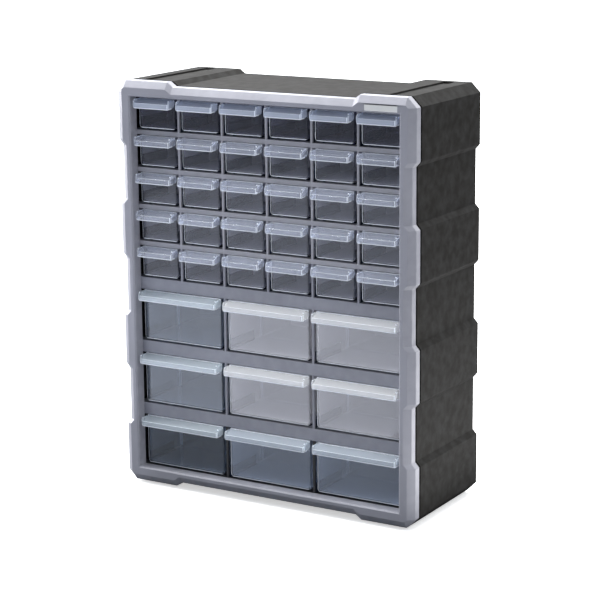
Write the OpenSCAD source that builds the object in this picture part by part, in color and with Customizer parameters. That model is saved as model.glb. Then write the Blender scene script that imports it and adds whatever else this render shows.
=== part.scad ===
// Wall or bench parts cabinet: a black outer case, a grey front frame, eight moulded
// shelves and thirty-nine clear pull-out drawers (thirty small ones above nine large ones).
// Frame: X across the front, the front faces -Y, +Z up. Z = 0 is the underside of the two
// stacking ribs that the cabinet stands on, and X = Y = 0 is the middle of its footprint.

/* [Drawer layout] */
// Columns of small drawers across the front
small_columns = 6; // [6:2:8]
// Rows of small drawers
small_rows = 5; // [4:1:6]
// Columns of large drawers across the front
large_columns = 3; // [2:1:4]
// Rows of large drawers
large_rows = 3; // [2:1:4]
// Distance from one small drawer to the next, across
column_pitch = 57.6; // [54:0.1:62]
// Height taken by one row of small drawers with its shelf
small_pitch = 42.8; // [40:0.1:48]
// Height taken by one row of large drawers with its shelf
large_pitch = 75.2; // [70:0.1:84]

/* [Drawers] */
// Length of a drawer from its front face to its back
drawer_length = 134; // [126:1:136]
// Free space left between neighbouring small drawers
small_gap = 9.4; // [8:0.1:12]
// Free space left between neighbouring large drawers
large_gap = 9.6; // [8:0.1:12]
// Thickness of a drawer's side, back and bottom walls
drawer_wall = 1.4; // [1.2:0.1:2]
// Thickness of a drawer's front wall
drawer_front = 1.8; // [1.4:0.1:2.4]
// Radius of a drawer's lower corners
drawer_corner = 3.6; // [2:0.1:5]
// How far the handle hood stands in front of the drawer
hood_reach = 12; // [9:0.5:13]
// How far the hood slopes down towards its lip
hood_drop = 5; // [3:0.5:6]
// Height of the hood from the drawer's rim to the bottom of the lip
hood_height = 11; // [9:0.5:13]
// How far a drawer slides out before its stop lugs meet the shelf above
drawer_travel = 118; // [90:1:120]

/* [Case] */
// Depth of the black case behind the front frame
case_depth = 145; // [143:1:160]
// Wall thickness of the case
case_wall = 3; // [2.5:0.1:3.5]
// How far the recessed bands of the sides are set in
side_recess = 5; // [3:0.5:6]
// How far the middle of the top and of the bottom is set in
end_recess = 5; // [3:0.5:6]
// Size of the 45 degree corner chamfers
corner_chamfer = 11; // [8:0.5:13]
// Width of the raised blocks at both ends of the top and of the bottom
block_width = 67.5; // [60:0.5:80]

/* [Front frame] */
// Width of the frame's border beside the outer drawers
frame_border = 18.5; // [17.5:0.1:22]
// Depth of the frame from its front face to the shelf fronts
frame_depth = 14; // [13:0.5:18]
// Height of the sill under the bottom row
sill = 18; // [16:0.5:22]
// Height of the head above the top row's shelf line
head = 14.4; // [13:0.1:20]
// Width of the sloping rim around the frame's front face
rim_slope = 8; // [6:0.5:10]
// Depth of the frame's side face behind that slope
rim_side = 8.5; // [7:0.5:9]

/* [Shelves] */
// Height of the front bar of a shelf above small drawers
small_bar = 5.3; // [4.5:0.1:6]
// Height of the front bar of a shelf above large drawers
large_bar = 14.2; // [12:0.1:16]
// Width of the posts between two columns
post_width = 2.6; // [2:0.1:3.2]
// Length of the guide rails that stand on a shelf
rail_length = 60; // [40:1:80]
// Height of the guide rails above the shelf
rail_height = 12; // [8:0.5:14]

/* [Wall fixing] */
// Radius of the four screw holes in the case's back
screw_hole_r = 2.5; // [2:0.1:3]
// Distance between the screw holes, across
screw_span_x = 254; // [200:1:260]
// Distance between the screw holes, up and down
screw_span_z = 304.8; // [300:0.1:310]

/* [Hidden] */
// how much narrower the frame's opening is than its columns, and how much higher than the top row
opening_trim = 1.6;
head_strip = 1.9;
opening_width = small_columns * column_pitch - opening_trim;
width = opening_width + 2 * frame_border;
opening_bottom = sill;
rows_top = sill + large_rows * large_pitch + small_rows * small_pitch;
height = rows_top + head;
row_head = rows_top - small_bar;
opening_top = row_head + head_strip;

// the two ribs under the case, and the grooves in its top that take another case's ribs
rib_height = 2.5;
rib_width = 8;
rib_inset = 35.5;
groove_width = 14;
groove_inset = 33.5;
groove_depth = 2;
groove_stop = 12;
rib_start = 8;
rib_stop = 6;

// front faces of the frame and of the shelves; the case runs from its mouth to its back
total_depth = frame_depth + case_depth;
front_y = -total_depth / 2;
grid_y = front_y + frame_depth;
back_y = total_depth / 2;

// the sides are stepped: raised, recessed, raised, recessed from the middle outwards
half_width = width / 2;
middle_z = height / 2;
slope_run = 5.5;
block_slope = 7;
block_start = half_width - block_width;
rib_centre = half_width - rib_inset;
groove_centre = half_width - groove_inset;
band_edges = [for (share = [31, 95, 162]) share * height / 472];

large_column_pitch = column_pitch * small_columns / large_columns;
small_width = column_pitch - small_gap;
large_width = large_column_pitch - large_gap;
under_gap = 2.4;
over_gap = 0.7;
small_height = small_pitch - small_bar - under_gap - over_gap;
large_height = large_pitch - large_bar - under_gap - over_gap;

// shelves; their features start rail_start behind the shelf's front
shelf_plate = 2;
rail_start = 8;
bar_thickness = 3;
base_bar = 7;
shelf_side_gap = 2.7;
shelf_half = half_width - side_recess - case_wall - shelf_side_gap;
shelf_end_y = back_y - case_wall - 1;
runner_height = 2.2;
runner_width = 3;
runner_inset = 6;
rear_stop = [1.8, 5];
guide_height = 4.5;
guide_gap = 0.8;
stop_clearance = 0.4;
lug_height = 1.8;
lug_length = 3;

// hollow back of the frame and the flange that plugs into the case
skirt = 2.6;
inner_wall = 2.5;
hollow_depth = 8;
flange_root = 5;
flange_gap = 0.3;
flange_depth = 8;
flange_wall = 2;
reveal_width = 3;
reveal_depth = 1.6;
ledge_reach = shelf_half - 3.7;
ledge_height = 2;

// name plate: its size and its place from the opening's upper right corner
plate_size = [39.5, 7.6];
plate_thickness = 0.55;
plate_gap = 0.1;
plate_corner = [2, 1.7];

// six stiffening panels on the back; the screw holes have a pad inside and a land outside
panel_border = 19.5;
panel_depth = 1;
stiffener = 12;
pad_r = 7;
pad_height = 2;
land_r = 9;
bit = 0.01;

case_colour = [0.16, 0.16, 0.16];
frame_colour = [0.50, 0.50, 0.56];
shelf_colour = [0.44, 0.44, 0.48];
base_colour = [0.18, 0.18, 0.19];
clear_colour = [0.80, 0.86, 0.94, 0.45];
plate_colour = [0.93, 0.93, 0.93];

small_drawer_names = [for (r = [1:small_rows], c = [1:small_columns]) str("small_drawer_r", r, "c", c)];
large_drawer_names = [for (r = [1:large_rows], c = [1:large_columns]) str("large_drawer_r", r, "c", c)];
small_shelf_names = [for (r = [1:small_rows]) str("small_shelf_", r)];
large_shelf_names = [for (r = [1:large_rows - 1]) str("large_shelf_", r)];

// height of the floor of a row above the stacking ribs' underside, rows counted from the top
function small_floor(row) = rib_height + rows_top - row * small_pitch;
function large_floor(row) = rib_height + sill + (large_rows - row) * large_pitch;
function column_x(column, columns, pitch) = (column - (columns + 1) / 2) * pitch;

// one quarter of the side profile, from the middle up: [distance from middle, recessed or not]
function side_steps() = [
    [band_edges[0], 1], [band_edges[0] + slope_run, 0], [band_edges[1], 0],
    [band_edges[1] + slope_run, 1], [band_edges[2], 1], [band_edges[2] + slope_run, 0]];

// cross-section of the case and frame, with every wall moved in by inset
function right_side(inset) = let (steps = side_steps(), low = [for (i = [len(steps) - 1:-1:0]) steps[i]])
    concat([[half_width - inset, corner_chamfer]],
           [for (s = low) [half_width - inset - s[1] * side_recess, middle_z - s[0]]],
           [for (s = steps) [half_width - inset - s[1] * side_recess, middle_z + s[0]]],
           [[half_width - inset, height - corner_chamfer]]);
function top_half(inset) = [
    [half_width - corner_chamfer, height - inset], [block_start, height - inset],
    [block_start - block_slope, height - end_recess - inset]];
function mirrored(points) = [for (i = [len(points) - 1:-1:0]) [-points[i][0], points[i][1]]];
function flipped(points) = [for (i = [len(points) - 1:-1:0]) [points[i][0], height - points[i][1]]];
function outline(inset) = let (right = right_side(inset), top = top_half(inset))
    concat(right, top, mirrored(top), mirrored(right), flipped(mirrored(top)), flipped(top));

// stands an XZ drawing up, from y_from to y_to
module upright(y_from, y_to) {
    translate([0, y_to, rib_height]) rotate([90, 0, 0]) linear_extrude(y_to - y_from) children();
}

module case_prism(inset, y_from, y_to) {
    upright(y_from, y_to) polygon(outline(inset));
}

module block(low, high) {
    translate(low) cube(high - low);
}

// ---- case ----

module screw_places() {
    for (sx = [-1, 1], sz = [-1, 1])
        translate([sx * screw_span_x / 2, 0, rib_height + middle_z + sz * screw_span_z / 2])
            rotate([-90, 0, 0]) children();
}

module stacking_grooves() {
    for (side = [-1, 1])
        block([side * groove_centre - groove_width / 2, grid_y - bit, rib_height + height - groove_depth],
              [side * groove_centre + groove_width / 2, back_y - groove_stop, rib_height + height + 1]);
}

// ledges inside the case that carry the ends of every shelf
module shelf_ledges() {
    floors = concat([for (r = [1:small_rows]) small_floor(r)], [for (r = [1:large_rows]) large_floor(r)]);
    for (floor = floors, side = [-1, 1])
        mirror([side > 0 ? 0 : 1, 0, 0])
            block([ledge_reach, grid_y + flange_depth + 1, floor - shelf_plate - ledge_height],
                  [half_width, back_y - 1, floor - shelf_plate]);
}

// shallow panels that leave a grid of stiffening ribs on the case's back
module back_panels() {
    panel_w = (width - 2 * panel_border) / 3 - stiffener;
    panel_h = height / 2 - 2.5 * stiffener;
    for (column = [-1:1], row = [-0.5, 0.5])
        translate([column * (panel_w + stiffener) - panel_w / 2, back_y - panel_depth,
                   rib_height + middle_z + row * (panel_h + stiffener) - panel_h / 2])
            cube([panel_w, panel_depth + 1, panel_h]);
}

module case_shell() {
    color(case_colour) difference() {
        union() {
            difference() {
                union() {
                    case_prism(0, grid_y + reveal_width, back_y);
                    case_prism(reveal_depth, grid_y, grid_y + reveal_width + bit);
                }
                case_prism(case_wall, grid_y - 1, back_y - case_wall);
            }
            intersection() {
                shelf_ledges();
                case_prism(1, grid_y + 1, back_y - 1);
            }
            // thicker roof under each groove
            for (side = [-1, 1])
                block([side * groove_centre - groove_width / 2 - 3, grid_y + flange_depth + 1,
                       rib_height + height - case_wall - groove_depth],
                      [side * groove_centre + groove_width / 2 + 3, back_y - 1,
                       rib_height + height - case_wall + bit]);
            // stacking ribs
            for (side = [-1, 1])
                block([side * rib_centre - rib_width / 2, grid_y + rib_start, 0],
                      [side * rib_centre + rib_width / 2, back_y - rib_stop, rib_height + 1]);
            // pads around the screw holes
            screw_places() translate([0, 0, back_y - case_wall - pad_height])
                cylinder(h = pad_height + 1, r = pad_r, $fn = 48);
        }
        stacking_grooves();
        difference() {
            back_panels();
            screw_places() translate([0, 0, back_y - case_wall]) cylinder(h = 2 * case_wall, r = land_r, $fn = 48);
        }
        screw_places() translate([0, 0, back_y - 20]) cylinder(h = 40, r = screw_hole_r, $fn = 48);
    }
}

// ---- front frame ----

// the frame's outer shell: a straight side face, then a slope in to the flat front
module frame_body() {
    rear = outline(0);
    face = outline(rim_slope);
    count = len(rear);
    case_prism(0, grid_y - rim_side, grid_y);
    points = concat([for (p = rear) [p[0], grid_y - rim_side, rib_height + p[1]]],
                    [for (p = face) [p[0], front_y, rib_height + p[1]]],
                    [for (y = [grid_y - rim_side, front_y]) [0, y, rib_height + middle_z]]);
    // both ends are fans about their middle, and the slope is two triangles an edge
    faces = [for (i = [0:count - 1], part = [0:3]) let (j = (i + 1) % count)
        part == 0 ? [i, j, 2 * count] :
        part == 1 ? [count + j, count + i, 2 * count + 1] :
        part == 2 ? [i, count + i, count + j] : [i, count + j, j]];
    polyhedron(points, faces);
}

module frame_opening(margin, y_from, y_to) {
    block([-opening_width / 2 - margin, y_from, rib_height + opening_bottom - margin],
          [opening_width / 2 + margin, y_to, rib_height + opening_top + margin]);
}

module front_frame() {
    lip = 1.6;
    strip = 3;
    hollow_y = grid_y - hollow_depth;
    root_y = grid_y - flange_root;
    tip_y = grid_y + flange_depth;
    outside = case_wall + flange_gap;
    color(frame_colour) difference() {
        union() {
            difference() {
                frame_body();
                frame_opening(0, front_y - 1, grid_y + 1);
                // softened front edge of the opening
                hull() {
                    frame_opening(lip, front_y - bit, front_y);
                    frame_opening(0, front_y + lip, front_y + lip + bit);
                }
                // hollow between the outer skirt and the inner wall, open to the back
                difference() {
                    case_prism(skirt, hollow_y, grid_y + 1);
                    frame_opening(inner_wall, hollow_y - 1, grid_y + 2);
                }
            }
            // locating flange that pushes into the mouth of the case
            difference() {
                case_prism(outside, root_y, tip_y);
                case_prism(outside + flange_wall, root_y - 1, tip_y + 1);
            }
            difference() {
                case_prism(skirt - bit, root_y, grid_y - 0.5);
                case_prism(outside + bit, root_y - 1, grid_y);
            }
            // strip over the top row
            block([-opening_width / 2 - 1, grid_y - strip, rib_height + row_head],
                  [opening_width / 2 + 1, grid_y + bar_thickness, rib_height + opening_top + 1]);
        }
        plate_pocket();
    }
}

// the name plate's place, near the frame's upper right corner
module plate_box(gap, proud) {
    right = opening_width / 2 - plate_corner[0];
    low = rib_height + opening_top + plate_corner[1];
    block([right - plate_size[0] - gap, front_y - proud, low - gap],
          [right + gap, front_y + plate_thickness, low + plate_size[1] + gap]);
}

module plate_pocket() {
    plate_box(plate_gap, 1);
}

module name_plate() {
    color(plate_colour) plate_box(0, 0);
}

// ---- shelves ----

// plate, front bar, posts, drawer runners, guide rails and a stop along the back
module shelf(floor, bar, post_height, columns, pitch, drawer_width) {
    runner_x = drawer_width / 2 - runner_inset;
    guide_half = (pitch - drawer_width) / 2 - guide_gap;
    rail_y = grid_y + rail_start;
    stop_y = grid_y + drawer_length + stop_clearance;
    block([-shelf_half, grid_y + bar_thickness - bit, floor - shelf_plate],
          [shelf_half, shelf_end_y, floor]);
    block([-shelf_half, grid_y, floor - bar], [shelf_half, grid_y + bar_thickness, floor]);
    // runners
    for (column = [1:columns], side = [-1, 1])
        translate([column_x(column, columns, pitch) + side * runner_x, 0, 0])
            block([-runner_width / 2, rail_y, floor - bit],
                  [runner_width / 2, grid_y + drawer_length, floor + runner_height]);
    // posts and rails between the columns
    for (k = [1:columns - 1]) translate([(k - columns / 2) * pitch, 0, 0]) {
        block([-post_width / 2, grid_y, floor - bit],
              [post_width / 2, grid_y + bar_thickness, floor + post_height]);
        block([-guide_half, rail_y, floor - bit],
              [guide_half, rail_y + rail_length, floor + guide_height]);
        block([-post_width / 2, grid_y + bar_thickness - bit, floor - bit],
              [post_width / 2, rail_y + rail_length, floor + rail_height]);
    }
    // low guides beside the outer drawers
    for (side = [-1, 1]) mirror([side > 0 ? 0 : 1, 0, 0])
        block([columns / 2 * pitch - guide_half, rail_y, floor - bit],
              [columns / 2 * pitch, rail_y + rail_length, floor + guide_height]);
    // rear stop
    block([-shelf_half, stop_y, floor - bit], [shelf_half, stop_y + rear_stop[0], floor + rear_stop[1]]);
}

module small_shelf(row) {
    bar = row == small_rows ? large_bar : small_bar;
    color(shelf_colour)
        shelf(small_floor(row), bar, small_pitch - small_bar, small_columns, column_pitch, small_width);
}

module large_shelf(row) {
    color(shelf_colour)
        shelf(large_floor(row), large_bar, large_pitch - large_bar, large_columns,
              large_column_pitch, large_width);
}

module base_shelf() {
    color(base_colour)
        shelf(large_floor(large_rows), base_bar, large_pitch - large_bar, large_columns,
              large_column_pitch, large_width);
}

// ---- drawers ----

// a quarter circle's points about a centre
function arc(cx, cz, r, from, steps = 4) =
    [for (i = [0:steps]) [cx + r * cos(from + 90 * i / steps), cz + r * sin(from + 90 * i / steps)]];

// U-shaped trough section with round lower corners, w wide and h high
function trough(w, h, r) = concat([[w / 2, h]], [[-w / 2, h]],
    arc(-w / 2 + r, r, r, 180), arc(w / 2 - r, r, r, 270));

// front view of the hood: a bar with four small round corners
function hood_face(w, low, high, r) = concat(
    arc(w / 2 - r, high - r, r, 0, 3), arc(-w / 2 + r, high - r, r, 90, 3),
    arc(-w / 2 + r, low + r, r, 180, 3), arc(w / 2 - r, low + r, r, 270, 3));

module stand_up(length) {
    rotate([90, 0, 0]) translate([0, 0, -length]) linear_extrude(length) children();
}

// side view section (Y forwards is negative) extruded across from x_from to x_to
module across(x_from, x_to) {
    translate([x_from, 0, 0]) rotate([90, 0, 90]) linear_extrude(x_to - x_from) children();
}

// side view of the hood's end cheeks: upright front edge, round top corner, lower edge that curves
// up by rise towards the drawer
function cheek(h, inset, r, rise) =
    let (front = -hood_reach + inset, foot = h - hood_height)
    concat([[bit, foot + rise], [bit, h - inset]], arc(front + r, h - inset - r, r, 90),
           [for (a = [0:18:72]) [front - front * sin(a), foot + rise * (1 - cos(a))]]);

module hood(w, h) {
    lip = 1.5;
    roof = 1.1;
    end = 1.4;
    end_rise = 4.5;
    step = 0.5;
    corner = 2;
    cheek_corner = 3;
    intersection() {
        union() {
            across(-w / 2, w / 2) polygon([
                [bit, h], [-hood_reach, h - hood_drop], [-hood_reach, h - hood_height],
                [-hood_reach + lip, h - hood_height], [-hood_reach + lip, h - hood_drop - roof],
                [bit, h - roof - lip * hood_drop / hood_reach]]);
            for (side = [-1, 1]) mirror([side > 0 ? 0 : 1, 0, 0])
                across(w / 2 - end, w / 2) polygon(cheek(h, step, cheek_corner, end_rise));
        }
        translate([0, -hood_reach - 1, 0]) stand_up(hood_reach + 2)
            polygon(hood_face(w, h - hood_height, h, corner));
    }
}

// a clear drawer at the origin: front face at y = 0, standing on z = 0
module drawer(w, h, slotted) {
    rib = 1.2;
    slot = 1.8;
    rib_top = h - 6;
    floor_rib = 0.8;
    lug_y = bar_thickness + drawer_travel + stop_clearance;
    difference() {
        stand_up(drawer_length) polygon(trough(w, h, drawer_corner));
        translate([0, drawer_front, drawer_wall])
            stand_up(drawer_length - drawer_front - drawer_wall)
                polygon(trough(w - 2 * drawer_wall, h, drawer_corner - drawer_wall));
    }
    hood(w, h);
    // stop lugs on the rims of the side walls
    for (side = [-1, 1]) mirror([side > 0 ? 0 : 1, 0, 0])
        block([w / 2 - drawer_wall, lug_y, h - 1], [w / 2, lug_y + lug_length, h + lug_height]);
    // ribs half way back that take a divider
    if (slotted) for (y = [drawer_length / 2 - slot / 2 - rib, drawer_length / 2 + slot / 2]) {
        for (side = [-1, 1]) mirror([side > 0 ? 0 : 1, 0, 0])
            block([w / 2 - drawer_wall - rib, y, drawer_corner - 1],
                  [w / 2 - drawer_wall + bit, y + rib, rib_top]);
        block([-w / 2 + drawer_corner, y, drawer_wall - bit],
              [w / 2 - drawer_corner, y + rib, drawer_wall + floor_rib]);
    }
}

module small_drawer(row, column) {
    color(clear_colour)
        translate([column_x(column, small_columns, column_pitch), grid_y, small_floor(row) + under_gap])
            drawer(small_width, small_height, false);
}

module large_drawer(row, column) {
    color(clear_colour)
        translate([column_x(column, large_columns, large_column_pitch), grid_y,
                   large_floor(row) + under_gap])
            drawer(large_width, large_height, true);
}

case_shell();
front_frame();
name_plate();
base_shelf();
for (r = [1:small_rows])
    small_shelf(r);
for (r = [1:large_rows - 1])
    large_shelf(r);
for (r = [1:small_rows], c = [1:small_columns])
    small_drawer(r, c);
for (r = [1:large_rows], c = [1:large_columns])
    large_drawer(r, c);
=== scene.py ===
"""Parts bin cabinet: a black case, a grey front frame, moulded shelves and clear pull-out drawers.

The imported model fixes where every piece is. This script builds the finished surfaces over it, gives
them their plastics and sets up the studio, in metres, +Z up, with the drawer fronts facing -Y.
"""

import logging
import math
from collections.abc import Sequence
from dataclasses import dataclass, field
from enum import Enum
from typing import Any

import bmesh
import bpy
import numpy as np
from mathutils import Matrix, Vector
from mathutils.geometry import tessellate_polygon


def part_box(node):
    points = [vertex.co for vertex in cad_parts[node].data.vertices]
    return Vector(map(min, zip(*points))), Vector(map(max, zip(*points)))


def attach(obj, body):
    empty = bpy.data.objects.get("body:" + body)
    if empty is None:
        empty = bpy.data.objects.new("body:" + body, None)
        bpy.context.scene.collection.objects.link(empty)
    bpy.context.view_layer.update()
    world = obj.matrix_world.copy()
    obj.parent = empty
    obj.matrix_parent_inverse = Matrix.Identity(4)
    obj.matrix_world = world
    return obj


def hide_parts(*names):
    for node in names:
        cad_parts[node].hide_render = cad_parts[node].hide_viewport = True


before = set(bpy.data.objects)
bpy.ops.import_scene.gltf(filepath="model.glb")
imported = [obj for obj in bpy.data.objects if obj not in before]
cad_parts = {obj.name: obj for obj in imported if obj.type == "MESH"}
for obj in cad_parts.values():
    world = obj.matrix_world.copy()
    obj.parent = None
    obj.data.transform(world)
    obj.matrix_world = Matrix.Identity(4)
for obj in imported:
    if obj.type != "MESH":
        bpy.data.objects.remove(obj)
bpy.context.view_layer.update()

LOG = logging.getLogger("cabinet")
MM = 0.001
SUNK = 0.5 * MM  # how far a block reaches into what it is joined to
TINY = 0.02 * MM  # a step too small to be seen
LEAST_STEP = 0.05 * MM  # the least distance between two rings of a rounding
MOST_ROUND = 0.45  # the largest share of a side that its rounding takes
LEAST_ROUND = 0.05  # the share of a block's radius that the corners of each ring keep
MERGE_DISTANCE = 1e-6  # how near vertices are when they count as one
BLOCK_TONE = 0.5  # edge tone of every rounded block
TONE_PER_TURN = 4.0  # edge tone for each radian that a track of rings turns
EDGE_TONE = "edge_tone"
SHARP_ANGLE = math.radians(38)
Loop = np.ndarray
Colour = tuple[float, float, float]


# ---- drawing closed loops and open paths in a plane ----


def quarter_turn(steps: int) -> np.ndarray:
    """Angles from 0 to a right angle in even steps."""
    return np.linspace(0, np.pi / 2, steps + 1)


def left_normals(corners: Loop) -> Loop:
    """Unit normals on the left of each edge of a closed loop, edge k starting at corner k.

    Args:
        corners: (n, 2) corner points. Counter-clockwise loops get inward normals.

    Returns:
        (n, 2) normals: each edge's direction turned a quarter turn to the left.
    """
    edge = np.roll(corners, -1, axis=0) - corners
    edge = edge / np.linalg.norm(edge, axis=1, keepdims=True)
    return np.stack([-edge[:, 1], edge[:, 0]], axis=1)


def turn_between(before: Loop, after: Loop) -> np.ndarray:
    """Signed angle from each normal in before to the one in after, in radians."""
    cross = before[:, 0] * after[:, 1] - before[:, 1] * after[:, 0]
    return np.arctan2(cross, (before * after).sum(axis=1))


def arcs(corners: Loop, before: Loop, after: Loop, radii: np.ndarray, steps: int) -> np.ndarray:
    """Replaces each corner by an arc that touches both of its edges.

    The arc's centre is the corner moved by the radius along the mitre, which is the sum of the two
    edge normals over one plus their dot product. Its points lie a radius from the centre, against a
    normal that turns evenly from the edge before to the edge after.

    Args:
        corners: (n, 2) corners.
        before: (n, 2) left normals of the edges that end at the corners.
        after: (n, 2) left normals of the edges that start there.
        radii: (n,) radii.
        steps: segments per arc.

    Returns:
        (n, steps + 1, 2) points.
    """
    turn = turn_between(before, after)
    signed = (radii * np.sign(turn))[:, None]
    mitre = (before + after) / (1 + (before * after).sum(axis=1, keepdims=True))
    start = np.arctan2(before[:, 1], before[:, 0])[:, None]
    angle = start + turn[:, None] * np.linspace(0, 1, steps + 1)
    normal = np.stack([np.cos(angle), np.sin(angle)], axis=2)
    return (corners + signed * mitre)[:, None] - signed[:, None] * normal


def rounded_loop(corners: Loop, radii: np.ndarray | float, steps: int) -> Loop:
    """A closed loop with every corner rounded.

    Args:
        corners: (n, 2) corners, counter-clockwise.
        radii: one radius, or one for each corner.
        steps: segments per corner.

    Returns:
        (n * (steps + 1), 2) points.
    """
    after = left_normals(corners)
    radii = np.broadcast_to(np.asarray(radii, float), len(corners))
    return arcs(corners, np.roll(after, 1, axis=0), after, radii, steps).reshape(-1, 2)


def rounded_path(points: Loop, radii: Sequence[float], steps: int) -> Loop:
    """An open path with its inner corners rounded and its two ends kept.

    Args:
        points: (n, 2) points of the path.
        radii: n - 2 radii, for the corners between the ends.
        steps: segments per corner.

    Returns:
        (m, 2) points.
    """
    edge = np.diff(points, axis=0)
    edge = edge / np.linalg.norm(edge, axis=1, keepdims=True)
    normal = np.stack([-edge[:, 1], edge[:, 0]], axis=1)
    bends = arcs(points[1:-1], normal[:-1], normal[1:], np.asarray(radii, float), steps)
    return np.concatenate([points[:1], bends.reshape(-1, 2), points[-1:]])


def shrunk(corners: Loop, inset: float) -> Loop:
    """A closed loop with every edge moved to its left, each corner along its mitre.

    Args:
        corners: (n, 2) corners, counter-clockwise.
        inset: how far the edges move in.

    Returns:
        (n, 2) corners.
    """
    after = left_normals(corners)
    before = np.roll(after, 1, axis=0)
    return corners + inset * (before + after) / (1 + (before * after).sum(axis=1, keepdims=True))


def rectangle(low: tuple[float, float], high: tuple[float, float]) -> Loop:
    """Corners of an upright rectangle, counter-clockwise from its low corner."""
    return np.array([[low[0], low[1]], [high[0], low[1]], [high[0], high[1]], [low[0], high[1]]])


def circle(centre: tuple[float, float], radius: float, count: int = 32) -> Loop:
    """Points of a circle about a centre, counter-clockwise."""
    angle = np.arange(count) * 2 * np.pi / count
    return np.array(centre) + radius * np.stack([np.cos(angle), np.sin(angle)], axis=1)


def upright(loop: Loop, y: float) -> np.ndarray:
    """Stands an XZ loop up at a place along Y."""
    return np.stack([loop[:, 0], np.broadcast_to(y, len(loop)), loop[:, 1]], axis=1)


def level(loop: Loop, z: float) -> np.ndarray:
    """Lays an XY loop flat at a height."""
    return np.column_stack([loop, np.full(len(loop), z)])


# ---- gathering faces into objects ----


@dataclass
class Draft:
    """Vertices and faces of one piece while it is drawn, with the tone of its edges.

    The tone is 1 on a rounded edge and 0 on a flat; the opaque plastics read it for wear, and the clear
    ones for a painted highlight on their rims.
    """

    name: str
    shift: tuple[float, float, float] = (0.0, 0.0, 0.0)
    points: list[np.ndarray] = field(default_factory=list)
    tones: list[np.ndarray] = field(default_factory=list)
    faces: list[list[int]] = field(default_factory=list)
    slots: list[int] = field(default_factory=list)
    count: int = 0

    def add(self, points: np.ndarray, groups: list[Any], tone: Any, slots: list[Any]) -> None:
        """Adds vertices, and faces that index them from 0.

        Args:
            points: (n, 3) vertices.
            groups: integer arrays, each with one row for every face of that many corners.
            tone: one edge tone, or one for each vertex.
            slots: for each group, one material slot or one for each of its faces.
        """
        self.points.append(np.asarray(points, float) + self.shift)
        self.tones.append(np.broadcast_to(np.asarray(tone, float).ravel(), len(points)).copy())
        for group, slot in zip(groups, slots):
            group = np.asarray(group)
            self.faces += (group + self.count).tolist()
            self.slots += np.broadcast_to(np.asarray(slot).ravel(), len(group)).tolist()
        self.count += len(points)

    def stack(
        self, rings: np.ndarray, tone: Any = 0.0, slot: Any = 0, caps: tuple[bool, bool] = (True, True),
        cap_slot: int = 0,
    ) -> None:
        """Joins rings of equal length by quads: ring i, point j meets ring i + 1, point j + 1.

        Args:
            rings: (m, n, 3) closed rings, in order.
            tone: edge tone, broadcast over (m, n).
            slot: material slot, broadcast over the (m - 1, n) quads.
            caps: whether the first and the last ring are closed by a flat face.
            cap_slot: material slot of those flat faces.
        """
        m, n = rings.shape[:2]
        here = np.arange(m * n).reshape(m, n)
        ahead = np.roll(here, -1, axis=1)
        groups = [np.stack([here[:-1], ahead[:-1], ahead[1:], here[1:]], axis=-1).reshape(-1, 4)]
        slots = [np.broadcast_to(slot, (m - 1, n))]
        for wanted, ring in zip(caps, (here[:1, ::-1], here[-1:])):
            if wanted:
                groups.append(ring)
                slots.append(cap_slot)
        tones = np.broadcast_to(np.asarray(tone, float), (m, n))
        self.add(rings.reshape(-1, 3), groups, tones, slots)

    def sleeve(self, rings: Any, tone: Any = 0.0) -> None:
        """Joins rings as stack does, with both ends left open."""
        self.stack(np.array(rings), tone, caps=(False, False))

    def plate(self, loops: list[np.ndarray]) -> None:
        """Fills a flat region, in the first slot, between an outer ring and the rings of its holes.

        Args:
            loops: (n, 3) rings, the outer one first.
        """
        triangles = tessellate_polygon([loop.tolist() for loop in loops])
        self.add(np.concatenate(loops), [triangles], 0.0, [0])

    def block(self, low: Any, high: Any, radius: float = 0.4 * MM, slot: int = 0, steps: int = 2) -> None:
        """A box with rounded edges: rounded rectangles in XZ, stacked along Y.

        Near both ends a ring is drawn in by r - r sin t where its place is r - r cos t from the end,
        for t from 0 to a right angle.

        Args:
            low: lowest corner.
            high: highest corner.
            radius: edge radius.
            slot: material slot.
            steps: segments per edge.
        """
        low, high = np.asarray(low, float), np.asarray(high, float)
        radius = min(radius, MOST_ROUND * float((high - low).min()))
        t = quarter_turn(steps)
        inset = radius * (1 - np.sin(t))
        start = radius * (1 - np.cos(t))
        places = np.concatenate([low[1] + start, (high[1] - start)[::-1]])
        insets = np.concatenate([inset, inset[::-1]])
        base = rectangle((low[0], low[2]), (high[0], high[2]))
        rings = [
            upright(rounded_loop(shrunk(base, d), max(radius - d, LEAST_ROUND * radius), steps), y)
            for d, y in zip(insets, places)
        ]
        self.stack(np.array(rings), BLOCK_TONE, slot, cap_slot=slot)

    def finish(
        self, materials: list[bpy.types.Material], body: str, slot: str, replaces: str
    ) -> bpy.types.Object:
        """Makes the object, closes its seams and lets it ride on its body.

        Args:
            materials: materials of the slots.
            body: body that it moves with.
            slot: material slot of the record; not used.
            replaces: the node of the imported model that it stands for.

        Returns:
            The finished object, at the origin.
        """
        mesh = bpy.data.meshes.new(self.name)
        mesh.from_pydata(np.concatenate(self.points), [], self.faces)
        tone = mesh.attributes.new(EDGE_TONE, "FLOAT", "POINT")
        tone.data.foreach_set("value", np.concatenate(self.tones).astype(np.float32))
        mesh.polygons.foreach_set("material_index", np.array(self.slots, np.int32))
        tidy_surface(mesh)
        mesh.polygons.foreach_set("use_smooth", np.ones(len(mesh.polygons), bool))
        mesh.set_sharp_from_angle(angle=SHARP_ANGLE)
        for material in materials:
            mesh.materials.append(material)
        piece = bpy.data.objects.new(self.name, mesh)
        bpy.context.scene.collection.objects.link(piece)
        even = piece.modifiers.new("even_flats", "WEIGHTED_NORMAL")
        even.keep_sharp = True
        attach(piece, body)
        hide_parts(replaces)
        LOG.info("%s: %d faces, rides on %s", self.name, len(mesh.polygons), body)
        return piece


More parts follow.
